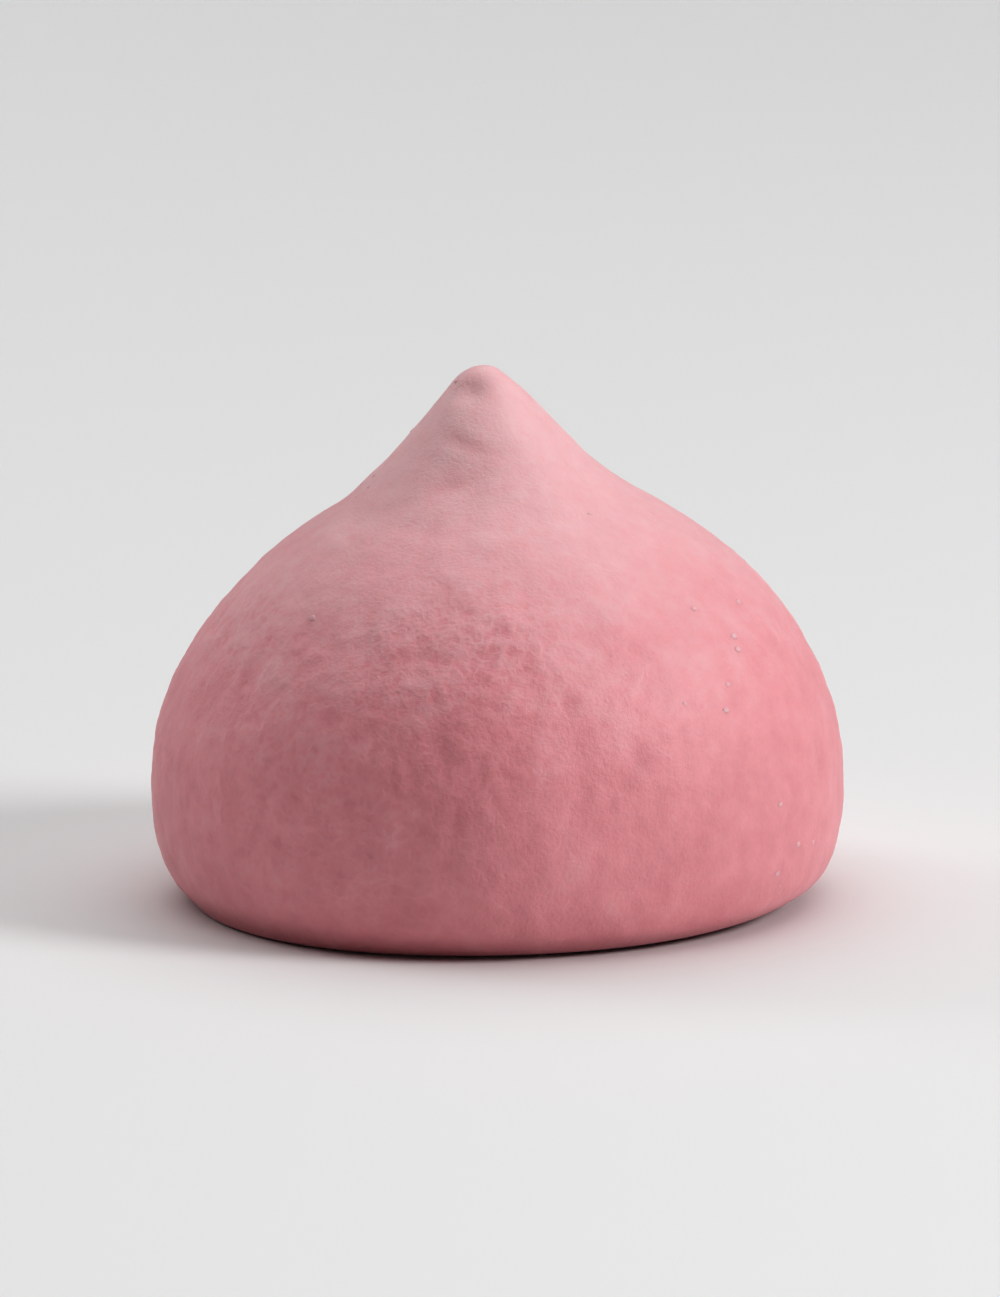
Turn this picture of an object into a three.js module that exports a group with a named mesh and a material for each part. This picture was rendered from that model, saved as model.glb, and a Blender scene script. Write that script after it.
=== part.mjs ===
// A small pink meringue cookie, piped as one drop: a broad round belly on a low foot,
// a dome that draws in to a blunt nose, and a slight lean to one side.
// Millimetres, +Z up. The foot stands on z = 0 and the front faces -Y.
import * as THREE from "three";

// Stations of the drop's profile: radius, height and slope below the horizontal.
const DROP_HEIGHT = 28.0;
const NOSE_RADIUS = 1.4;
const NOSE_HEIGHT = 27.35;
const NOSE_SLOPE = 46;
const SHOULDER_RADIUS = 8.4;
const SHOULDER_HEIGHT = 20.55;
const SHOULDER_SLOPE = 30;
const BELLY_RADIUS = 17.9;
const BELLY_HEIGHT = 6.4;
const TOE_RADIUS = 14.6;
const TOE_HEIGHT = 0.2;

// The foot is a low disc under the skin, with a groove where the skin curls in to it.
const FOOT_RADIUS = 13.2;
const FOOT_EDGE = 0.15;
const GROOVE_RADIUS = 13.75;
const GROOVE_HEIGHT = 0.5;

// The soft drop settled to the left, over a foot that stayed flat.
const LEAN = THREE.MathUtils.degToRad(2.5);
const LEAN_FADE = 1.1;
const FOOT_SHIFT = new THREE.Vector2(-1.5, -0.8);
const FOOT_FADE = 0.4;

// Broad swellings around the drop, each a few tenths of a millimetre high at the belly.
const SWELLINGS = [
  { count: 2, height: 0.16, turn: 35, twist: 2.5 },
  { count: 3, height: 0.12, turn: 110, twist: -4 },
  { count: 5, height: 0.06, turn: 20, twist: 6 },
];

// Dents where the nozzle pulled away from the nose, and a hollow in the front of the neck.
const DENTS = [
  { x: -0.6, y: -1.65, z: 26.9, size: 0.8, depth: 0.26 },
  { x: 1.2, y: 0.9, z: 27.3, size: 0.7, depth: 0.2 },
  { x: -1.6, y: -5.1, z: 23.7, size: 1.7, depth: 0.18 },
];

const AROUND = 92;
const RINGS = { nose: 7, neck: 10, dome: 14, under: 9, curl: 2, wall: 2, edge: 2 };

// A smooth bend between two stations, close to an arc, that keeps both slopes.
function bend(from, slopeFrom, to, slopeTo) {
  const turn = THREE.MathUtils.degToRad(Math.abs(slopeTo - slopeFrom));
  const chord = from.distanceTo(to);
  const arcHandle = (2 / 3) * Math.tan(turn / 4) * chord / Math.sin(turn / 2);
  const handle = turn < 0.001 ? chord / 3 : arcHandle;
  const leave = heading(slopeFrom).multiplyScalar(handle).add(from);
  const arrive = heading(slopeTo).multiplyScalar(-handle).add(to);
  return new THREE.CubicBezierCurve(from, leave, arrive, to);
}

// Unit step outwards and down by the slope; 90 is straight down and 180 is inwards.
function heading(slope) {
  const a = THREE.MathUtils.degToRad(slope);
  return new THREE.Vector2(Math.cos(a), -Math.sin(a));
}

// Profile from the top of the nose, down over the belly, to the middle of the foot.
function profilePoints() {
  const apex = new THREE.Vector2(0, DROP_HEIGHT);
  const nose = new THREE.Vector2(NOSE_RADIUS, NOSE_HEIGHT);
  const shoulder = new THREE.Vector2(SHOULDER_RADIUS, SHOULDER_HEIGHT);
  const belly = new THREE.Vector2(BELLY_RADIUS, BELLY_HEIGHT);
  const toe = new THREE.Vector2(TOE_RADIUS, TOE_HEIGHT);
  const groove = new THREE.Vector2(GROOVE_RADIUS, GROOVE_HEIGHT);
  const wall = new THREE.Vector2(FOOT_RADIUS, FOOT_EDGE);
  const sole = new THREE.Vector2(FOOT_RADIUS - FOOT_EDGE, 0);
  const bends = [
    [bend(apex, 0, nose, NOSE_SLOPE), RINGS.nose],
    [bend(nose, NOSE_SLOPE, shoulder, SHOULDER_SLOPE), RINGS.neck],
    [bend(shoulder, SHOULDER_SLOPE, belly, 90), RINGS.dome],
    [bend(belly, 90, toe, 180), RINGS.under],
    [bend(toe, 180, groove, 225), RINGS.curl],
    [bend(groove, 110, wall, 90), RINGS.wall],
    [bend(wall, 90, sole, 180), RINGS.edge],
  ];
  const points = [apex];
  for (const [curve, steps] of bends) {
    points.push(...curve.getSpacedPoints(steps).slice(1));
  }
  points.push(new THREE.Vector2(0, 0));
  return points;
}

// How far the skin swells out at this angle and height, in full at the belly.
function swelling(angle, z) {
  let height = 0;
  for (const wave of SWELLINGS) {
    const start = THREE.MathUtils.degToRad(wave.turn + wave.twist * z);
    height += wave.height * Math.cos(wave.count * (angle - start));
  }
  return height;
}

// Moves one point of the round drop to its place on the uneven one.
function settle(point) {
  const radius = Math.hypot(point.x, point.y);
  const angle = Math.atan2(point.y, point.x);
  const grown = 1 + swelling(angle, point.z) / BELLY_RADIUS;
  point.x *= grown;
  point.y *= grown;
  const inwards = new THREE.Vector3(-point.x, -point.y, -radius).normalize();
  let sink = 0;
  for (const dent of DENTS) {
    const off = point.distanceTo(new THREE.Vector3(dent.x, dent.y, dent.z));
    sink += dent.depth * Math.exp(-((off / dent.size) ** 2));
  }
  point.addScaledVector(inwards, sink);
  const lean = Math.tan(LEAN);
  const lift = lean * point.x * (1 - Math.exp(-point.z / LEAN_FADE));
  const foot = Math.exp(-point.z / FOOT_FADE);
  point.x += FOOT_SHIFT.x * foot - lean * point.z;
  point.y += FOOT_SHIFT.y * foot;
  point.z += lift;
  return point;
}

function meringueGeometry() {
  const upwards = profilePoints().reverse();
  const geometry = new THREE.LatheGeometry(upwards, AROUND);
  geometry.rotateX(Math.PI / 2);
  const position = geometry.attributes.position;
  const point = new THREE.Vector3();
  for (let i = 0; i < position.count; i += 1) {
    point.fromBufferAttribute(position, i);
    settle(point);
    position.setXYZ(i, point.x, point.y, point.z);
  }
  geometry.computeBoundingBox();
  const middle = geometry.boundingBox.getCenter(new THREE.Vector3());
  geometry.translate(-middle.x, -middle.y, 0);
  geometry.computeVertexNormals();
  return geometry;
}

const skin = new THREE.MeshStandardMaterial({ color: 0xe6aeb2, roughness: 0.85, metalness: 0 });
const meringue = new THREE.Mesh(meringueGeometry(), skin);
meringue.name = "meringue";

const part = new THREE.Group();
part.add(meringue);
export default part;
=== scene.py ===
# %% [markdown]
# # A small pink meringue cookie
# Egg white and sugar are beaten to a stiff pink foam and piped through a plain nozzle as one drop.
# The foam sinks into a broad belly, the nozzle is pulled away and leaves a blunt nose on top.
# A slow oven dries it, so the skin is chalky and matt, and the flat foot shows the bubbles inside.
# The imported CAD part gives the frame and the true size. This lesson gives it its skin.

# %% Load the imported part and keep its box
import math

import bpy
from mathutils import Euler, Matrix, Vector


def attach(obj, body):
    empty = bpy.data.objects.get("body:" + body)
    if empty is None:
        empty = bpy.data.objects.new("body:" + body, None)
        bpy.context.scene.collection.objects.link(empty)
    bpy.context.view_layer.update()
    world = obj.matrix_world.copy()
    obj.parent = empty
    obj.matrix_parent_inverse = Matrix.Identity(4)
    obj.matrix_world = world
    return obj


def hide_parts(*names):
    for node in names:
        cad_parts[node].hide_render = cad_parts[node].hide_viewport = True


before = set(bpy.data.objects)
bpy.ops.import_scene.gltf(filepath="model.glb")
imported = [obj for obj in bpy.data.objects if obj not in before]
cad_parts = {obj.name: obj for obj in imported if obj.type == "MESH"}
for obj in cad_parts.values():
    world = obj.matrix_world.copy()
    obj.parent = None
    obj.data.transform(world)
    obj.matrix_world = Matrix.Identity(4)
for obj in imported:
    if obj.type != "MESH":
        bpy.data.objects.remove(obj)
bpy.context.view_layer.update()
MM = 0.001

# %% [markdown]
# ## Sums with sockets
# A piped drop follows a rule, so it is grown by Geometry Nodes, and rules are mostly sums.
# A `Field` wraps one output socket, so that a sum of nodes can be written as a sum.
# The same class serves the shader trees later on, because both kinds of tree share their Math node.

# %% A socket that can be added, multiplied and compared


def plug(tree, value, socket):
    """Link a Field to a socket, or set the socket's own value."""
    if isinstance(value, Field):
        tree.links.new(value.socket, socket)
    else:
        socket.default_value = value


class Field:
    """One output socket of a node tree."""

    def __init__(self, tree, socket):
        self.tree = tree
        self.socket = socket

    def math(self, operation, *others):
        """The result of a Math node with this value first."""
        node = self.tree.nodes.new("ShaderNodeMath")
        node.operation = operation
        for socket, value in zip(node.inputs, (self, *others)):
            plug(self.tree, value, socket)
        return Field(self.tree, node.outputs[0])

    def __add__(self, other):
        return self.math("ADD", other)

    def __sub__(self, other):
        return self.math("SUBTRACT", other)

    def __mul__(self, other):
        return self.math("MULTIPLY", other)

    def __truediv__(self, other):
        return self.math("DIVIDE", other)

    __radd__ = __add__
    __rmul__ = __mul__

    def __neg__(self):
        return self * -1.0

    def step(self, low, high):
        """Smooth 0 to 1 as the value goes from low to high, either way round."""
        node = self.tree.nodes.new("ShaderNodeMapRange")
        node.interpolation_type = "SMOOTHSTEP"
        plug(self.tree, self, node.inputs["Value"])
        plug(self.tree, low, node.inputs["From Min"])
        plug(self.tree, high, node.inputs["From Max"])
        return Field(self.tree, node.outputs["Result"])


def add_node(tree, kind, settings=(), **inputs):
    """A node with its settings made and its inputs plugged; input names use _ for a space."""
    node = tree.nodes.new(kind)
    for name, value in dict(settings).items():
        setattr(node, name, value)
    for name, value in inputs.items():
        plug(tree, value, node.inputs[name.replace("_", " ")])
    return node


def out(node, name):
    """A node's output by its name."""
    return Field(node.id_data, node.outputs[name])


def vector(tree, x, y, z):
    """Three values joined to a vector."""
    return out(add_node(tree, "ShaderNodeCombineXYZ", X=x, Y=y, Z=z), "Vector")


def axes(value):
    """The three values of a vector."""
    node = add_node(value.tree, "ShaderNodeSeparateXYZ", Vector=value)
    return out(node, "X"), out(node, "Y"), out(node, "Z")


def vector_math(operation, first, second, result="Vector"):
    """The result of a Vector Math node; a scale takes its number in a socket of its own."""
    node = first.tree.nodes.new("ShaderNodeVectorMath")
    node.operation = operation
    plug(first.tree, first, node.inputs[0])
    plug(first.tree, second, node.inputs["Scale" if operation == "SCALE" else 1])
    return out(node, result)


# %% Helpers for whole trees and meshes


def new_tree(name, inputs):
    """An empty geometry tree with named inputs, their identifiers and the tree's input node."""
    made = bpy.data.node_groups.new(name, "GeometryNodeTree")
    made.interface.new_socket("Geometry", in_out="INPUT", socket_type="NodeSocketGeometry")
    made.interface.new_socket("Geometry", in_out="OUTPUT", socket_type="NodeSocketGeometry")
    identifiers = {}
    for input_name, kind, _ in inputs:
        socket = made.interface.new_socket(input_name, in_out="INPUT", socket_type=kind)
        identifiers[input_name] = socket.identifier
    print(name, "inputs:", list(identifiers))
    return made, identifiers, made.nodes.new("NodeGroupInput")


def close_tree(geometry, material):
    """End a tree: realized, smooth, with its material, to the output."""
    made = geometry.tree
    real = add_node(made, "GeometryNodeRealizeInstances", Geometry=geometry)
    smooth = add_node(made, "GeometryNodeSetShadeSmooth", Geometry=out(real, "Geometry"))
    dressed = add_node(
        made, "GeometryNodeSetMaterial", Geometry=out(smooth, "Geometry"), Material=material
    )
    result = made.nodes.new("NodeGroupOutput")
    plug(made, out(dressed, "Geometry"), result.inputs["Geometry"])
    print(made.name, "nodes:", len(made.nodes))


def place_points(geometry, **where):
    """Set or offset the points of a mesh."""
    return out(add_node(geometry.tree, "GeometryNodeSetPosition", Geometry=geometry, **where), "Geometry")


def keep(geometry, name, value):
    """Store a value on the points of a mesh under a name."""
    settings = {"data_type": "FLOAT", "domain": "POINT"}
    kept = add_node(
        geometry.tree,
        "GeometryNodeStoreNamedAttribute",
        settings,
        Geometry=geometry,
        Name=name,
        Value=value,
    )
    return out(kept, "Geometry")


# %% [markdown]
# ## The profile of the drop
# The side view of a piped drop is a chain of stations: the nose, the shoulder where the neck turns
# out again, the belly, the toe where the skin curls in, and the flat foot.
# Each span between two stations is one Bezier span close to an arc, with the slope at both ends.
# The numbers are the CAD part's own, in millimetres and degrees below the horizontal.
# Only the toe and the groove sit a little lower, so that no more than a thin dark line shows.

# %% Stations and spans of the profile
APEX = (0.0, 28.0)
NOSE = (1.4, 27.35)
SHOULDER = (8.4, 20.55)
BELLY = (17.9, 6.4)
TOE = (14.6, 0.1)
GROOVE = (13.75, 0.35)
FOOT_WALL = (13.2, 0.15)
FOOT_EDGE = (13.05, 0.0)
FOOT_MIDDLE = (0.0, 0.0)
ALMOST_STRAIGHT = 0.001
SPANS = (
    (APEX, 0, NOSE, 46),
    (NOSE, 46, SHOULDER, 30),
    (SHOULDER, 30, BELLY, 90),
    (BELLY, 90, TOE, 180),
    (TOE, 180, GROOVE, 225),
    (GROOVE, 110, FOOT_WALL, 90),
    (FOOT_WALL, 90, FOOT_EDGE, 180),
    (FOOT_EDGE, 180, FOOT_MIDDLE, 180),
)


def heading(slope):
    """The way the profile goes at a slope."""
    angle = math.radians(slope)
    return Vector((math.cos(angle), 0.0, -math.sin(angle)))


def span_points(start, slope_start, end, slope_end):
    """The four points of a Bezier span close to an arc."""
    first = Vector((start[0], 0.0, start[1]))
    last = Vector((end[0], 0.0, end[1]))
    chord = (last - first).length
    turn = math.radians(abs(slope_end - slope_start))
    handle = chord / 3
    if turn > ALMOST_STRAIGHT:
        handle = (2 / 3) * math.tan(turn / 4) * chord / math.sin(turn / 2)
    return first, first + heading(slope_start) * handle, last - heading(slope_end) * handle, last


# %% Draw the profile as one curve
PROFILE_STEPS = 160
SOLE_MARGIN = 0.9
profile = bpy.data.curves.new("profile", "CURVE")
profile.dimensions = "3D"
profile.resolution_u = PROFILE_STEPS
line = profile.splines.new("BEZIER")
line.bezier_points.add(len(SPANS))
for point in line.bezier_points:
    point.handle_left_type = "FREE"
    point.handle_right_type = "FREE"
for index, span in enumerate(SPANS):
    first, leave, arrive, last = span_points(*span)
    here, there = line.bezier_points[index], line.bezier_points[index + 1]
    here.co, here.handle_right = first, leave
    there.co, there.handle_left = last, arrive
line.bezier_points[0].handle_left = line.bezier_points[0].co
line.bezier_points[-1].handle_right = line.bezier_points[-1].co
profile_object = bpy.data.objects.new("profile", profile)
bpy.context.scene.collection.objects.link(profile_object)
profile_length = line.calc_length(resolution=PROFILE_STEPS)
sole_start = 1 - (FOOT_EDGE[0] + SOLE_MARGIN) / profile_length
print("profile length in mm:", round(profile_length, 2), "sole starts at", round(sole_start, 3))

# %% [markdown]
# ## From a ball to a drop
# The mesh starts as a cube whose faces are cut into a fine grid and blown up to a ball, because
# such a ball has even cells and no crowded pole at the nose.
# The angle down from the top of the ball picks a place along the profile, and the angle round it
# turns that place about the axis. So one rule gives the whole closed skin, nose to foot.
# The soft foam is never quite round: broad waves run round it, it leans over its foot,
# and the nozzle tore small dents into the nose.

# %% Uneven sizes, the CAD part's own
WAVES = (
    {"count": 2, "height": 0.16, "turn": 35, "twist": 2.5},
    {"count": 3, "height": 0.12, "turn": 110, "twist": -4.0},
    {"count": 5, "height": 0.06, "turn": 20, "twist": 6.0},
)
DENTS = (
    {"at": (-0.6, -1.65, 26.9), "size": 0.8, "depth": 0.26},
    {"at": (1.2, 0.9, 27.3), "size": 0.7, "depth": 0.2},
    {"at": (-1.6, -5.1, 23.7), "size": 1.7, "depth": 0.18},
)
LEAN = math.tan(math.radians(2.5))
LEAN_FADE = 1.1
FOOT_SHIFT = (-1.5, -0.8)
FOOT_FADE = 0.4
CELLS = 128
print("waves:", len(WAVES), "dents:", len(DENTS))

# %% Inputs of the tree, in millimetres
TREE_INPUTS = (
    ("Profile", "NodeSocketObject", profile_object),
    ("Cells", "NodeSocketInt", CELLS),
    ("Lump Height", "NodeSocketFloat", 0.07),
    ("Ripple Height", "NodeSocketFloat", 0.04),
    ("Crepe Height", "NodeSocketFloat", 0.09),
    ("Grain Height", "NodeSocketFloat", 0.045),
    ("Pit Depth", "NodeSocketFloat", 0.15),
    ("Knob Depth", "NodeSocketFloat", 0.2),
    ("Hollow Depth", "NodeSocketFloat", 1.3),
    ("Material", "NodeSocketMaterial", None),
)
tree, socket_of, given = new_tree("piped_drop", TREE_INPUTS)

# %% A fine ball and its two angles
edge = out(given, "Cells") + 1.0
cube = add_node(tree, "GeometryNodeMeshCube", Vertices_X=edge, Vertices_Y=edge, Vertices_Z=edge)
cube.inputs["Size"].default_value = (2.0, 2.0, 2.0)
cube_x, cube_y, cube_z = axes(out(tree.nodes.new("GeometryNodeInputPosition"), "Position"))
even_x, even_y, even_z = [
    (axis * (math.pi / 4)).math("TANGENT") for axis in (cube_x, cube_y, cube_z)
]
aside = (even_x * even_x + even_y * even_y).math("SQRT")
down_angle = aside.math("ARCTAN2", even_z)
round_angle = even_y.math("ARCTAN2", even_x)
along = down_angle / math.pi
print("ball of", 6 * CELLS * CELLS, "cells")

# %% The place on the profile, turned about the axis
curve = out(add_node(tree, "GeometryNodeObjectInfo", Object=out(given, "Profile")), "Geometry")
sample = add_node(tree, "GeometryNodeSampleCurve", {"mode": "FACTOR"}, Curves=curve, Factor=along)
radius, _, height = axes(out(sample, "Position"))
wavy = 0.0
for wave in WAVES:
    start = height * math.radians(wave["twist"]) + math.radians(wave["turn"])
    wavy = ((round_angle - start) * wave["count"]).math("COSINE") * wave["height"] + wavy
grown = radius * (wavy / BELLY[0] + 1.0)
drop_x = grown * round_angle.math("COSINE")
drop_y = grown * round_angle.math("SINE")

# %% Dents in the nose
drop = vector(tree, drop_x, drop_y, height)
inwards = vector_math("NORMALIZE", vector(tree, -drop_x, -drop_y, -radius), (0.0, 0.0, 0.0))
sink = 0.0
for dent in DENTS:
    off = vector_math("DISTANCE", drop, dent["at"], "Value") / dent["size"]
    sink = (-(off * off)).math("EXPONENT") * dent["depth"] + sink
dented_x, dented_y, dented_z = axes(vector_math("ADD", drop, vector_math("SCALE", inwards, sink)))

# %% Lean over a foot that stays flat
free_of_foot = 1.0 + -(-dented_z / LEAN_FADE).math("EXPONENT")
foot = (-dented_z / FOOT_FADE).math("EXPONENT")
settled = vector(
    tree,
    dented_x + foot * FOOT_SHIFT[0] - dented_z * LEAN,
    dented_y + foot * FOOT_SHIFT[1],
    dented_z + dented_x * LEAN * free_of_foot,
)
formed = place_points(keep(out(cube, "Mesh"), "along", along), Position=settled)
box = add_node(tree, "GeometryNodeBoundBox", Geometry=formed)
low_x, low_y, _ = axes(out(box, "Min"))
high_x, high_y, _ = axes(out(box, "Max"))
middle = vector(tree, (low_x + high_x) * -0.5, (low_y + high_y) * -0.5, 0.0)
centred = place_points(formed, Offset=middle)
print("drop nodes so far:", len(tree.nodes))

# %% [markdown]
# ## Relief of the skin
# The dried skin has relief of several sizes. Broad lumps come from the sinking foam.
# Ripples lie round the drop like the rings of a pulled nozzle, and come and go in patches.
# A felt-like grain covers everything, and burst bubbles leave pinholes here and there.
# All of them push the fine mesh along its normal, so they show in outline and in any light.

# %% Noise, bubbles and soft spots by size in millimetres
FACING_BLEND = 2.0
WANDER = 0.18
WANDER_SIZE = 2.2
place = out(tree.nodes.new("GeometryNodeInputPosition"), "Position")
place_x, place_y, place_z = axes(place)


def noise(where, size, detail=1.0, roughness=0.5):
    """Noise from about -1 to 1 with features of the given size."""
    node = add_node(where.tree, "ShaderNodeTexNoise", Vector=where, Detail=detail, Roughness=roughness)
    node.inputs["Scale"].default_value = 1.0 / size
    return (out(node, "Fac") - 0.5) * 3.0


def bubbles(where, size, share, smallest, largest):
    """Bubble marks: 1 in the middle of a mark, 0 outside, on a share of all the cells."""
    node = add_node(where.tree, "ShaderNodeTexVoronoi", Vector=where, Scale=1.0 / size)
    chance, spread, _ = axes(out(node, "Color"))
    reach = spread * (largest - smallest) + smallest
    mark = (out(node, "Distance") * size).step(reach, reach * 0.2)
    return mark * chance.math("LESS_THAN", share)


def soft_spot(turn, z, length, width, tilt=0.0):
    """An ellipse on the skin: 1 in its middle and falling softly to 0, long round the drop."""
    angle = math.radians(turn)
    across = place_x * -math.sin(angle) + place_y * math.cos(angle)
    facing = (place_x * math.cos(angle) + place_y * math.sin(angle)).step(0.0, FACING_BLEND)
    ratio_long = across / length
    wander = noise(place, WANDER_SIZE) * WANDER
    ratio_high = (place_z - across * tilt - z + wander) / width
    return (-(ratio_long * ratio_long + ratio_high * ratio_high)).math("EXPONENT") * facing


def add_spots(spots, measure):
    """The sum of soft spots, each as strong as its own measure says."""
    total = 0.0
    for spot in spots:
        shape = {name: value for name, value in spot.items() if name != measure}
        total = soft_spot(**shape) * spot[measure] + total
    print("soft spots by", measure, len(spots))
    return total


# %% [markdown]
# ### Swells and crumpled skin
# While it was soft, the foam sank more on some sides than on others, so the belly has a few broad
# swells. There the skin hung loose and dried in fine folds, like crepe, while the rest stayed smooth.
# Both are soft ellipses on the skin: the swells add height, the others say where the folds are strong.

# %% Broad swells where the foam sank unevenly
SWELLS = (
    {"turn": 270, "z": 8.5, "length": 4.5, "width": 7.5, "tilt": 0.0, "height": 0.5},
    {"turn": 335, "z": 12.0, "length": 5.0, "width": 4.0, "tilt": 0.2, "height": 0.25},
    {"turn": 60, "z": 9.0, "length": 5.5, "width": 6.0, "tilt": 0.1, "height": 0.35},
    {"turn": 135, "z": 12.0, "length": 5.0, "width": 5.0, "tilt": -0.2, "height": 0.3},
    {"turn": 190, "z": 9.0, "length": 4.5, "width": 6.0, "tilt": 0.0, "height": 0.3},
)
swells = add_spots(SWELLS, "height")

# %% Where the sagging skin crumpled
CRUMPLED = (
    {"turn": 244, "z": 9.0, "length": 9.5, "width": 7.0},
    {"turn": 264, "z": 16.0, "length": 5.0, "width": 2.5},
    {"turn": 25, "z": 10.0, "length": 6.0, "width": 5.5},
    {"turn": 85, "z": 14.0, "length": 6.5, "width": 4.0},
    {"turn": 155, "z": 9.0, "length": 7.0, "width": 5.5},
    {"turn": 205, "z": 15.0, "length": 4.0, "width": 3.0},
)
crumpled = 0.0
for spot in CRUMPLED:
    crumpled = soft_spot(**spot) + crumpled
crumpled = crumpled.math("MINIMUM", 1.0)
print("crumpled zones:", len(CRUMPLED))

# %% Lumps, and ripples that come and go in patches
LUMP_SIZE = 6.5
SMALL_LUMP_SIZE = 2.4
SMALL_LUMP_HEIGHT = 0.075
RING_STRETCH = 0.16
RING_TILT = 0.06
RIPPLE_SIZE = 1.15
PATCH_SPREAD = 7.0
PATCH_EDGES = (-0.35, 0.75)
RIPPLE_RISE = (7.0, 11.0)
small_lumps = noise(place, SMALL_LUMP_SIZE) * SMALL_LUMP_HEIGHT
lumps = noise(place, LUMP_SIZE) * out(given, "Lump Height") + small_lumps
rings = vector(
    tree, place_x * RING_STRETCH, place_y * RING_STRETCH, place_z + place_x * RING_TILT
)
patches = noise(place, PATCH_SPREAD).step(*PATCH_EDGES)
band = place_z.step(*RIPPLE_RISE)
ripples = noise(rings, RIPPLE_SIZE, 2.0) * patches * band * out(given, "Ripple Height")
print("lumps in mm:", (LUMP_SIZE, SMALL_LUMP_SIZE), "ripples:", RIPPLE_SIZE)

# %% Crepe: thin folds along the zero lines of a noise
FOLD_SIZE = 1.9
FOLD_SQUASH = 0.75
FOLD_SHARPNESS = 2.4
THIN_FOLD_SIZE = 1.0
THIN_FOLD_SHARPNESS = 2.6
THIN_FOLD_SHARE = 0.45
FOLD_MEAN = 0.5
CREPE_ELSEWHERE = 0.2
CREPE_FADE = (22.0, 14.0)


def ridge(value):
    """1 where the value is 0, and falling off on both sides."""
    return (-(value * value)).math("EXPONENT")


fold_place = vector(tree, place_x, place_y, place_z * FOLD_SQUASH)
thin_place = vector(tree, place_z, place_x, place_y)
broad_folds = ridge(noise(fold_place, FOLD_SIZE) * FOLD_SHARPNESS)
thin_folds = ridge(noise(thin_place, THIN_FOLD_SIZE) * THIN_FOLD_SHARPNESS)
folds = broad_folds + thin_folds * THIN_FOLD_SHARE
loose = crumpled * (1 - CREPE_ELSEWHERE) + CREPE_ELSEWHERE
crepe = (folds - FOLD_MEAN) * loose * place_z.step(*CREPE_FADE) * out(given, "Crepe Height")
print("folds in mm:", (FOLD_SIZE, THIN_FOLD_SIZE))

# %% Grain, and pinholes with ragged rims
BUMP_SIZE = 1.3
BUMP_SHARE = 1.3
FINE_BUMP_SIZE = 0.65
FINE_BUMP_SHARE = 0.75
GRAIN_FADE = (21.0, 13.0)
GRAIN_ON_TOP = 0.45
GRAIN_ELSEWHERE = 0.4
PIT_CELL = 2.9
PIT_SHARE = 0.16
PIT_SIZES = (0.12, 0.34)
PIT_RAGGED = 0.16


def shaken(amount, size_x, size_y):
    """The place on the skin, shifted by noise so that round marks turn ragged."""
    x = noise(place, size_x) * amount + place_x
    y = noise(rings, size_y) * amount + place_y
    return vector(tree, x, y, place_z)


fine_bumps = noise(place, FINE_BUMP_SIZE, 2.0, 0.6) * FINE_BUMP_SHARE
bumps = noise(place, BUMP_SIZE) * BUMP_SHARE + fine_bumps
rough = place_z.step(*GRAIN_FADE) * (1 - GRAIN_ON_TOP) + GRAIN_ON_TOP
grainy = crumpled * (1 - GRAIN_ELSEWHERE) + GRAIN_ELSEWHERE
grain = bumps * rough * grainy * out(given, "Grain Height")
pit_place = shaken(PIT_RAGGED, 0.7, 0.5)
pits = bubbles(pit_place, PIT_CELL, PIT_SHARE, *PIT_SIZES) * out(given, "Pit Depth")
print("grain in mm:", (BUMP_SIZE, FINE_BUMP_SIZE), "pinholes:", PIT_SIZES)

# %% [markdown]
# ### Creases under the nose
# Where the nozzle was pulled away the neck wrinkled: a few short creases lie across it, one with
# a raised lip above. Longer, fainter ones cross the dome, two in front and one behind.
# A crease is a soft ellipse on the skin, long round the drop and narrow in height.

# %% Short creases across the neck and the dome
CREASES = (
    {"turn": 250, "z": 24.3, "tilt": -0.24, "length": 1.6, "width": 0.38, "depth": 0.065},
    {"turn": 254, "z": 24.9, "tilt": -0.24, "length": 1.3, "width": 0.42, "depth": -0.04},
    {"turn": 244, "z": 22.5, "tilt": 0.08, "length": 1.1, "width": 0.5, "depth": 0.075},
    {"turn": 285, "z": 23.2, "tilt": 0.25, "length": 1.3, "width": 0.25, "depth": 0.04},
    {"turn": 60, "z": 24.1, "tilt": 0.3, "length": 1.5, "width": 0.4, "depth": 0.08},
    {"turn": 130, "z": 22.9, "tilt": -0.3, "length": 1.9, "width": 0.42, "depth": 0.07},
    {"turn": 255, "z": 15.4, "tilt": 0.02, "length": 4.6, "width": 0.4, "depth": 0.05},
    {"turn": 268, "z": 14.2, "tilt": -0.03, "length": 4.0, "width": 0.35, "depth": 0.04},
    {"turn": 95, "z": 16.0, "tilt": 0.04, "length": 5.0, "width": 0.4, "depth": 0.05},
)
creases = add_spots(CREASES, "depth")
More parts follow.
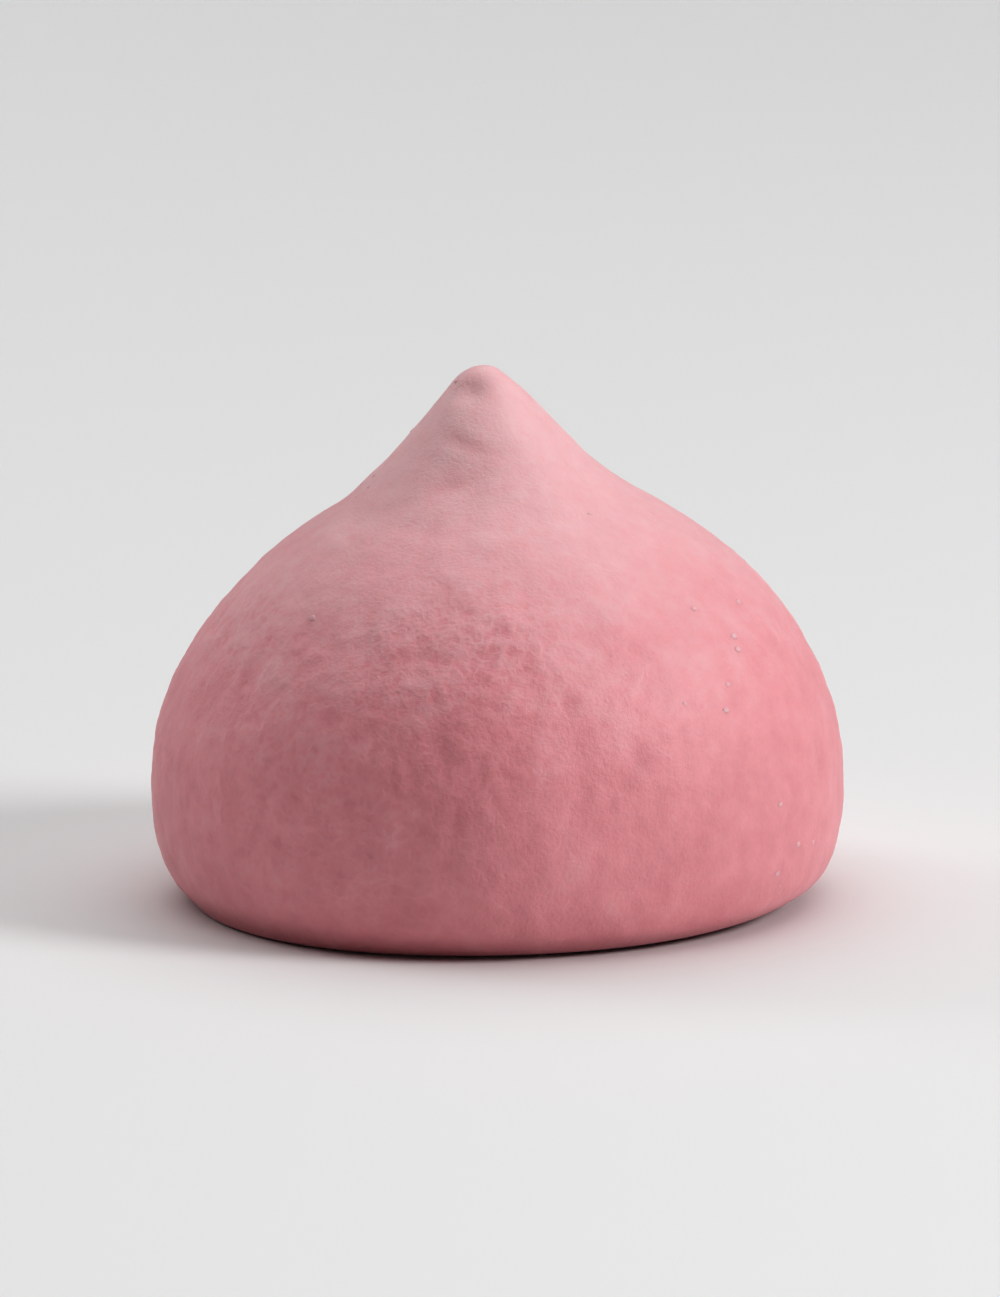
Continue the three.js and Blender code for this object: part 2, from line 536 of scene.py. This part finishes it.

# %% [markdown]
# ### The underside
# Turned over, the cookie shows its foot: a disc of open, knobbly crumb like a sponge, with a
# ragged hollow near the middle, where the foam shrank away from the paper, with painted shade of deep
# rose in it.
# Knobs, burst bubbles and hollow only go inwards, so the rest still stands flat on the table.

# %% Open crumb of the foot
KNOB_SIZE = 0.85
BUBBLES = (
    {"size": 1.9, "share": 0.5, "smallest": 0.3, "largest": 0.75, "depth": 0.35},
    {"size": 0.9, "share": 0.6, "smallest": 0.18, "largest": 0.4, "depth": 0.2},
)
CRUMB_RAGGED = 0.35
CRUMB_RIM = 1.0
SOLE_EDGE = 0.006
SOLE_WANDER = 0.004
SOLE_WANDER_SIZE = 1.4
along_node = add_node(
    tree, "GeometryNodeInputNamedAttribute", {"data_type": "FLOAT"}, Name="along"
)
along_kept = noise(place, SOLE_WANDER_SIZE) * SOLE_WANDER + out(along_node, "Attribute")
sole = along_kept.step(sole_start - SOLE_EDGE, sole_start + SOLE_EDGE)
torn = shaken(CRUMB_RAGGED, 0.9, 0.7)
knobs = (noise(torn, KNOB_SIZE, 2.0, 0.6) * 0.5 + 0.5).math("MAXIMUM", 0.0)
crumb = knobs * out(given, "Knob Depth")
for spec in BUBBLES:
    marks = bubbles(torn, spec["size"], spec["share"], spec["smallest"], spec["largest"])
    crumb = marks * spec["depth"] + crumb
place_radius = (place_x * place_x + place_y * place_y).math("SQRT")
inner = place_radius.step(FOOT_WALL[0], FOOT_WALL[0] - CRUMB_RIM)
print("foot relief: knobs and bubbles of", len(BUBBLES), "sizes")

# %% The ragged hollow
HOLLOW_AT = (0.9, -0.6, 0.0)
HOLLOW_REACH = 4.6
HOLLOW_EDGE = 1.3
HOLLOW_RAGGED = 0.8
HOLLOW_RAGGED_SIZE = 1.8
hollow_rim = noise(place, HOLLOW_RAGGED_SIZE, 2.0) * HOLLOW_RAGGED
from_hollow = vector_math("DISTANCE", place, HOLLOW_AT, "Value") + hollow_rim
hollow = from_hollow.step(HOLLOW_REACH, HOLLOW_REACH - HOLLOW_EDGE) * out(given, "Hollow Depth")
print("hollow across in mm:", 2 * HOLLOW_REACH)

# %% Push the mesh and keep the relief for the shader
OFF_TABLE = (0.1, 1.4)
fine = ripples + crepe + grain - creases - pits
off_table = place_z.step(*OFF_TABLE)
skin_height = (fine + lumps + swells) * off_table * (1.0 + -sole)
foot_depth = (crumb + hollow) * inner * sole
normal = out(tree.nodes.new("GeometryNodeInputNormal"), "Normal")
geometry = centred
KEPT = {"relief": fine, "crumpled": crumpled, "sole": sole, "crumb": foot_depth}
for name, value in KEPT.items():
    geometry = keep(geometry, name, value)
pushed = place_points(geometry, Offset=vector_math("SCALE", normal, skin_height - foot_depth))
print("kept for the shader:", list(KEPT))

# %% From millimetres to metres, and the end of the tree
scaled = add_node(tree, "GeometryNodeTransform", Geometry=pushed)
scaled.inputs["Scale"].default_value = (MM, MM, MM)
close_tree(out(scaled, "Geometry"), out(given, "Material"))

# %% [markdown]
# ## The finish of the skin
# Dried meringue is matt and chalky, with light going a little way in, so its shadows stay rosy.
# One tone runs from deep rose, painted shade in the pinholes and creases, to pale chalk, painted
# highlight on the grain's tops; painted top light makes it paler towards the nose.
# The foot's crumb is as pale as the chalk, and painted shade turns it deep rose in its bubbles and its
# hollow.

# %% Colours of the skin and the crumb, linear
DEEP_ROSE_AND_SHADE = (0.60, 0.19, 0.215, 1.0)
BODY_PINK = (0.80, 0.345, 0.378, 1.0)
PALE_CHALK_AND_LIGHT = (0.86, 0.61, 0.625, 1.0)
FOOT_SHADE_MAROON = (0.30, 0.07, 0.085, 1.0)
CRUMB_PINK = (0.85, 0.47, 0.50, 1.0)
CRUMB_SHADE = (0.60, 0.17, 0.21, 1.0)


def new_shader(name):
    """A material with an empty tree, its Principled shader and its object coordinates."""
    material = bpy.data.materials.new(name)
    material.use_nodes = True
    shader_tree = material.node_tree
    shader_tree.nodes.clear()
    shader = shader_tree.nodes.new("ShaderNodeBsdfPrincipled")
    finish = shader_tree.nodes.new("ShaderNodeOutputMaterial")
    shader_tree.links.new(shader.outputs["BSDF"], finish.inputs["Surface"])
    where = out(shader_tree.nodes.new("ShaderNodeTexCoord"), "Object")
    return material, shader, where


def ramp(tone, stops):
    """A colour for each tone, blended between the stops."""
    node = tone.tree.nodes.new("ShaderNodeValToRGB")
    plug(tone.tree, tone, node.inputs["Fac"])
    colours = node.color_ramp.elements
    while len(colours) < len(stops):
        colours.new(0.5)
    for element, (position, colour) in zip(colours, stops):
        element.position = position
        element.color = colour
    return out(node, "Color")


def mix(amount, first, second):
    """The first colour going over to the second with the amount."""
    node = amount.tree.nodes.new("ShaderNodeMix")
    node.data_type = "RGBA"
    plug(amount.tree, amount, node.inputs[0])
    plug(amount.tree, first, node.inputs[6])
    plug(amount.tree, second, node.inputs[7])
    return Field(amount.tree, node.outputs[2])


def attribute(shader_tree, name):
    """A value that the geometry tree kept on the mesh."""
    node = shader_tree.nodes.new("ShaderNodeAttribute")
    node.attribute_name = name
    return out(node, "Fac")


def set_finish(shader, values):
    """Set values on the shader's own sockets."""
    for name, value in values.items():
        shader.inputs[name].default_value = value


# %% The tone of the skin, from deep rose at 0 to pale chalk at 1, with painted light and shade in it
BASE_TONE = 0.42
RELIEF_SHADING = 0.6
PAINTED_TOP_LIGHT = 0.38
TOP_RISE = (8.0 * MM, 27.0 * MM)
MOTTLE_SIZE = 0.9 * MM
MOTTLE_TONE = 0.065
SPECKLE_SIZE = 0.22 * MM
SPECKLE_TONE = 0.022
PATCH_SIZE = 2.3 * MM
PATCH_TONE = 0.02
PATCH_TONE_LOW_DOWN = 0.08
CLOUD_SIZE = 7.0 * MM
CLOUD_TONE = 0.055
WRINKLE_SIZE = 0.6 * MM
WRINKLE_SHARPNESS = 2.6
WRINKLE_MEAN = 0.45
WRINKLE_ELSEWHERE = 0.25
WRINKLE_SHADING = 0.1
skin, skin_shader, skin_place = new_shader("meringue_skin")
skin_tree = skin.node_tree
skin_z = axes(skin_place)[2]
# Painted top light: the skin grows paler with height towards the nose.
upwards = skin_z.step(*TOP_RISE)
low_down = 1.0 + -upwards
mottle = noise(skin_place, MOTTLE_SIZE, 2.0, 0.55)
speckle = noise(skin_place, SPECKLE_SIZE, 2.0, 0.6) * SPECKLE_TONE
patch = noise(skin_place, PATCH_SIZE) * (low_down * PATCH_TONE_LOW_DOWN + PATCH_TONE)
cloud = noise(skin_place, CLOUD_SIZE) * CLOUD_TONE
blotches = mottle * MOTTLE_TONE + speckle + patch + cloud
wrinkled = attribute(skin_tree, "crumpled") * (1 - WRINKLE_ELSEWHERE) + WRINKLE_ELSEWHERE
wrinkle_lines = ridge(noise(skin_place, WRINKLE_SIZE) * WRINKLE_SHARPNESS)
wrinkles = (wrinkle_lines - WRINKLE_MEAN) * wrinkled
# Painted shade in the pinholes and creases and painted highlight on the raised grain, from the kept
# relief.
relief_light_and_shade = attribute(skin_tree, "relief") * RELIEF_SHADING
# The wrinkle lines add painted light and shade along fine folds, besides their bump further down.
tone = relief_light_and_shade + wrinkles * WRINKLE_SHADING + blotches + upwards * PAINTED_TOP_LIGHT + BASE_TONE
print("tone nodes:", len(skin_tree.nodes))

# %% Colours from the tone, painted shade at the foot's edge, crumb underneath with painted shade in its hollows
CRUMB_MOTTLE = 0.08
FOOT_SHADE_RISE = (1.7 * MM, 0.2 * MM)
FOOT_SHADE_STRENGTH = 0.45
skin_colour = ramp(tone, ((0.0, DEEP_ROSE_AND_SHADE), (0.5, BODY_PINK), (1.0, PALE_CHALK_AND_LIGHT)))
# Painted shade in the crumb: the deeper a knob, a bubble or the hollow goes in, the deeper rose it is.
crumb_tone = attribute(skin_tree, "crumb") + mottle * CRUMB_MOTTLE
crumb_colour = ramp(crumb_tone, ((0.1, CRUMB_PINK), (0.9, CRUMB_SHADE)))
# Painted shade where the foot meets the table: the lowest 1.7 mm of the skin darkens towards maroon.
foot_shade = skin_z.step(*FOOT_SHADE_RISE) * FOOT_SHADE_STRENGTH
skin_colour = mix(foot_shade, skin_colour, FOOT_SHADE_MAROON)
skin_colour = mix(attribute(skin_tree, "sole"), skin_colour, crumb_colour)
plug(skin_tree, skin_colour, skin_shader.inputs["Base Color"])
print("colour nodes:", len(skin_tree.nodes))

# %% A matt skin with a fine bump, and light that goes a little way in
ROUGHNESS = 0.53
ROUGHER_WRINKLES = 0.14
ROUGHER_MOTTLE = 0.04
BUMP_GRAIN_SIZE = 0.2 * MM
BUMP_GRAIN = 0.45
BUMP_WRINKLES = 0.6
SKIN_FINISH = {
    "Subsurface Weight": 0.3,
    "Subsurface Radius": (1.0, 0.4, 0.35),
    "Subsurface Scale": 1.2 * MM,
    "Specular IOR Level": 0.8,
    "Sheen Weight": 0.1,
    "Sheen Roughness": 0.45,
}
skin_roughness = mottle * ROUGHER_MOTTLE + wrinkled * ROUGHER_WRINKLES + ROUGHNESS
plug(skin_tree, skin_roughness, skin_shader.inputs["Roughness"])
bump_grain = noise(skin_place, BUMP_GRAIN_SIZE, 2.0, 0.65) * BUMP_GRAIN
fine_bump = add_node(
    skin_tree,
    "ShaderNodeBump",
    Height=bump_grain + wrinkles * BUMP_WRINKLES,
    Strength=0.5,
    Distance=0.06 * MM,
)
plug(skin_tree, out(fine_bump, "Normal"), skin_shader.inputs["Normal"])
set_finish(skin_shader, SKIN_FINISH)
print("skin shader nodes:", len(skin_tree.nodes))

# %% [markdown]
# ## Growing the cookie
# The tree is put on an empty mesh, all its inputs are set, and it is evaluated once.
# The result is copied to a plain mesh, so nothing live is left on the piece,
# and the profile curve has done its work and goes.

# %% Evaluate a tree to a plain mesh


def grow(name, node_group, inputs, sockets, material):
    """Run a tree on an empty mesh and keep the result as a plain piece."""
    grower = bpy.data.objects.new(name + "_seed", bpy.data.meshes.new(name + "_seed"))
    bpy.context.scene.collection.objects.link(grower)
    growth = grower.modifiers.new(node_group.name, "NODES")
    growth.node_group = node_group
    for input_name, _, value in inputs:
        growth[sockets[input_name]] = material if input_name == "Material" else value
    grower.update_tag()
    ready = grower.evaluated_get(bpy.context.evaluated_depsgraph_get())
    mesh = bpy.data.meshes.new_from_object(ready)
    mesh.name = name
    grower.modifiers.remove(growth)
    bpy.data.objects.remove(grower)
    for index in reversed(range(len(mesh.materials))):
        if mesh.materials[index] is None:
            mesh.materials.pop(index=index)
    piece = bpy.data.objects.new(name, mesh)
    bpy.context.scene.collection.objects.link(piece)
    triangles = sum(len(face.vertices) - 2 for face in mesh.polygons)
    print(name, "triangles:", triangles, "materials:", [m.name for m in mesh.materials])
    return piece


cookie = grow("meringue_cookie", tree, TREE_INPUTS, socket_of, skin)
bpy.data.objects.remove(profile_object)

# %% Tie it to the frame
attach(cookie, "root")
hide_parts("meringue")
print(cookie.name, "rides on root")

# %% [markdown]
# ## Pale flecks
# Dry foam sheds crumbs when it is handled, and a few of them cling to the skin.
# They are small pale flakes that lie in loose groups, so a second tree scatters points over the
# finished skin, more where a broad noise is high, and sets a crushed, flat little ball on each.

# %% Scatter points over the skin, in loose groups
FLECK_INPUTS = (
    ("Skin", "NodeSocketObject", cookie),
    ("Gap", "NodeSocketFloat", 0.8 * MM),
    ("Density", "NodeSocketFloat", 260000.0),
    ("Smallest", "NodeSocketFloat", 0.07 * MM),
    ("Largest", "NodeSocketFloat", 0.19 * MM),
    ("Seed", "NodeSocketInt", 7),
    ("Material", "NodeSocketMaterial", None),
)
FOOT_CLEAR = (1.5 * MM, 3.0 * MM)
GROUP_SIZE = 5.0 * MM
GROUP_EDGES = (-0.1, 0.9)
fleck_tree, fleck_socket, fleck_given = new_tree("clinging_flecks", FLECK_INPUTS)
skin_info = add_node(fleck_tree, "GeometryNodeObjectInfo", Object=out(fleck_given, "Skin"))
skin_spot = out(fleck_tree.nodes.new("GeometryNodeInputPosition"), "Position")
above_foot = axes(skin_spot)[2].step(*FOOT_CLEAR)
grouped = noise(skin_spot, GROUP_SIZE).step(*GROUP_EDGES)
scatter = add_node(
    fleck_tree,
    "GeometryNodeDistributePointsOnFaces",
    {"distribute_method": "POISSON"},
    Mesh=out(skin_info, "Geometry"),
    Distance_Min=out(fleck_given, "Gap"),
    Density_Max=out(fleck_given, "Density"),
    Density_Factor=above_foot * grouped,
    Seed=out(fleck_given, "Seed"),
)

# %% A crushed ball on each point
CRUSH = 0.35
CRUSH_SIZE = 1.1
FLECK_STRETCH = 1.3
FLECK_FLATNESS = 0.28
ball = add_node(fleck_tree, "GeometryNodeMeshIcoSphere", Radius=1.0, Subdivisions=2)
ball_spot = out(fleck_tree.nodes.new("GeometryNodeInputPosition"), "Position")
crush = noise(ball_spot, CRUSH_SIZE) * CRUSH + 1.0
crushed = place_points(out(ball, "Mesh"), Position=vector_math("SCALE", ball_spot, crush))
sizes = add_node(fleck_tree, "FunctionNodeRandomValue", {"data_type": "FLOAT"})
plug(fleck_tree, out(fleck_given, "Smallest"), sizes.inputs[2])
plug(fleck_tree, out(fleck_given, "Largest"), sizes.inputs[3])
plug(fleck_tree, out(fleck_given, "Seed"), sizes.inputs["Seed"])
size = Field(fleck_tree, sizes.outputs[1])
flecks = add_node(
    fleck_tree,
    "GeometryNodeInstanceOnPoints",
    Points=out(scatter, "Points"),
    Instance=crushed,
    Rotation=out(scatter, "Rotation"),
    Scale=vector(fleck_tree, size * FLECK_STRETCH, size, size * FLECK_FLATNESS),
)
close_tree(out(flecks, "Instances"), out(fleck_given, "Material"))

# %% The flecks' finish: the skin's pink, paler and drier
FLECK_PALE = (0.87, 0.54, 0.56, 1.0)
FLECK_PINK = (0.82, 0.42, 0.45, 1.0)
FLECK_TONE_SIZE = 1.5 * MM
FLECK_FINISH = {"Subsurface Weight": 0.3, "Subsurface Scale": 0.4 * MM}
crumbs, crumbs_shader, crumbs_place = new_shader("meringue_crumbs")
crumbs_tone = noise(crumbs_place, FLECK_TONE_SIZE, 2.0) * 0.4 + 0.5
crumbs_colour = ramp(crumbs_tone, ((0.0, FLECK_PINK), (1.0, FLECK_PALE)))
plug(crumbs.node_tree, crumbs_colour, crumbs_shader.inputs["Base Color"])
plug(crumbs.node_tree, crumbs_tone * 0.1 + 0.75, crumbs_shader.inputs["Roughness"])
set_finish(crumbs_shader, FLECK_FINISH)
fleck_piece = grow("meringue_flecks", fleck_tree, FLECK_INPUTS, fleck_socket, crumbs)
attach(fleck_piece, "root")

# %% [markdown]
# ## Floor, light and camera
# The cookie stands on a plain white sweep that rises to a wall all round, so no edge shows
# from any side. A large soft light stands to the front right, a weaker one behind on the left.
# The sky is bright only overhead and a little behind, like a window in a roof, so that the top
# of the cookie is pale and its sides fall off to rose. The camera sees it from just above the table.

# %% A round white sweep
SWEEP_FLAT = 1.0
SWEEP_BEND = 0.25
SWEEP_WALL = 0.02
SWEEP_TURNS = 96
SWEEP_STEPS = 16
SWEEP_RINGS = 4
PAPER_FIBRE = 0.004
PAPER_WHITE = (0.8, 0.8, 0.8, 1.0)


def sweep_profile():
    """Reach and rise of each ring: flat, then a quarter bend, then a low wall."""
    points = [(SWEEP_FLAT * i / SWEEP_RINGS, 0.0) for i in range(1, SWEEP_RINGS + 1)]
    for i in range(1, SWEEP_STEPS + 1):
        angle = math.pi / 2 * i / SWEEP_STEPS
        reach = SWEEP_FLAT + SWEEP_BEND * math.sin(angle)
        points.append((reach, SWEEP_BEND * (1 - math.cos(angle))))
    points.append((SWEEP_FLAT + SWEEP_BEND, SWEEP_BEND + SWEEP_WALL))
    return points


vertices = [(0.0, 0.0, 0.0)]
faces = []
rings_made = sweep_profile()
for reach, rise in rings_made:
    for i in range(SWEEP_TURNS):
        angle = 2 * math.pi * i / SWEEP_TURNS
        vertices.append((reach * math.cos(angle), reach * math.sin(angle), rise))
for i in range(SWEEP_TURNS):
    after = (i + 1) % SWEEP_TURNS
    faces.append((0, 1 + i, 1 + after))
    for ring in range(len(rings_made) - 1):
        inner_ring, outer_ring = 1 + ring * SWEEP_TURNS, 1 + (ring + 1) * SWEEP_TURNS
        faces.append((inner_ring + i, outer_ring + i, outer_ring + after, inner_ring + after))
sweep_mesh = bpy.data.meshes.new("white_sweep")
sweep_mesh.from_pydata(vertices, [], faces)
sweep_mesh.shade_smooth()
sweep = bpy.data.objects.new("white_sweep", sweep_mesh)
bpy.context.scene.collection.objects.link(sweep)
paper, paper_shader, paper_place = new_shader("white_paper")
fibre = noise(paper_place, PAPER_FIBRE, 2.0)
plug(paper.node_tree, fibre * 0.03 + 0.8, paper_shader.inputs["Roughness"])
set_finish(paper_shader, {"Base Color": PAPER_WHITE})
sweep_mesh.materials.append(paper)
print("sweep faces:", len(faces))

# %% Soft studio lights
LIGHTS = (
    {"name": "key", "at": (0.48, -0.17, 0.30), "size": 0.2, "watts": 1.38},
    {"name": "rim", "at": (-0.46, 0.26, 0.26), "size": 0.24, "watts": 0.35},
)
TARGET = Vector((0.0, 0.0, 0.013))
for spec in LIGHTS:
    lamp = bpy.data.lights.new(spec["name"], "AREA")
    lamp.shape = "DISK"
    lamp.size = spec["size"]
    lamp.energy = spec["watts"]
    holder = bpy.data.objects.new(spec["name"], lamp)
    holder.location = spec["at"]
    holder.rotation_euler = (TARGET - holder.location).to_track_quat("-Z", "Y").to_euler()
    bpy.context.scene.collection.objects.link(holder)
print("lights:", [spec["name"] for spec in LIGHTS])

# %% A sky that is bright overhead, and how the picture is developed
SKY_AXIS = (0.0, 0.26, 0.966)
SKY_EDGES = (0.6, 0.85)
SKY_OVERHEAD = 0.97
SKY_ALL_ROUND = 0.02
world = bpy.data.worlds.new("studio")
world.use_nodes = True
sky_tree = world.node_tree
sky = sky_tree.nodes["Background"]
sky.inputs["Color"].default_value = (1.0, 1.0, 1.0, 1.0)
direction = out(sky_tree.nodes.new("ShaderNodeTexCoord"), "Generated")
overhead = vector_math("DOT_PRODUCT", direction, SKY_AXIS, "Value").step(*SKY_EDGES)
plug(sky_tree, overhead * SKY_OVERHEAD + SKY_ALL_ROUND, sky.inputs["Strength"])
bpy.context.scene.world = world
bpy.context.scene.view_settings.view_transform = "Standard"
bpy.context.scene.view_settings.look = "High Contrast"
print("sky strength:", SKY_ALL_ROUND, "to", SKY_OVERHEAD + SKY_ALL_ROUND)

# %% The camera, at the photograph's height above the table
CAMERA_HEIGHT_ANGLE = 11.5
CAMERA_DISTANCE = 0.72
FRAME_WIDTH = 0.052
IMAGE = (1000, 1297)
SENSOR_WIDTH = 36.0
camera_data = bpy.data.cameras.new("camera")
camera_data.sensor_width = SENSOR_WIDTH
short_side = SENSOR_WIDTH * IMAGE[0] / IMAGE[1]
camera_data.lens = short_side * CAMERA_DISTANCE / FRAME_WIDTH
camera_data.clip_start = 0.01
camera_data.clip_end = 10.0
camera = bpy.data.objects.new("camera", camera_data)
tilt = math.radians(CAMERA_HEIGHT_ANGLE)
away = Vector((0.0, -math.cos(tilt), math.sin(tilt)))
camera.location = TARGET + away * CAMERA_DISTANCE
camera.rotation_euler = Euler((math.pi / 2 - tilt, 0.0, 0.0))
bpy.context.scene.collection.objects.link(camera)
bpy.context.scene.camera = camera
print("lens in mm:", round(camera_data.lens, 1))
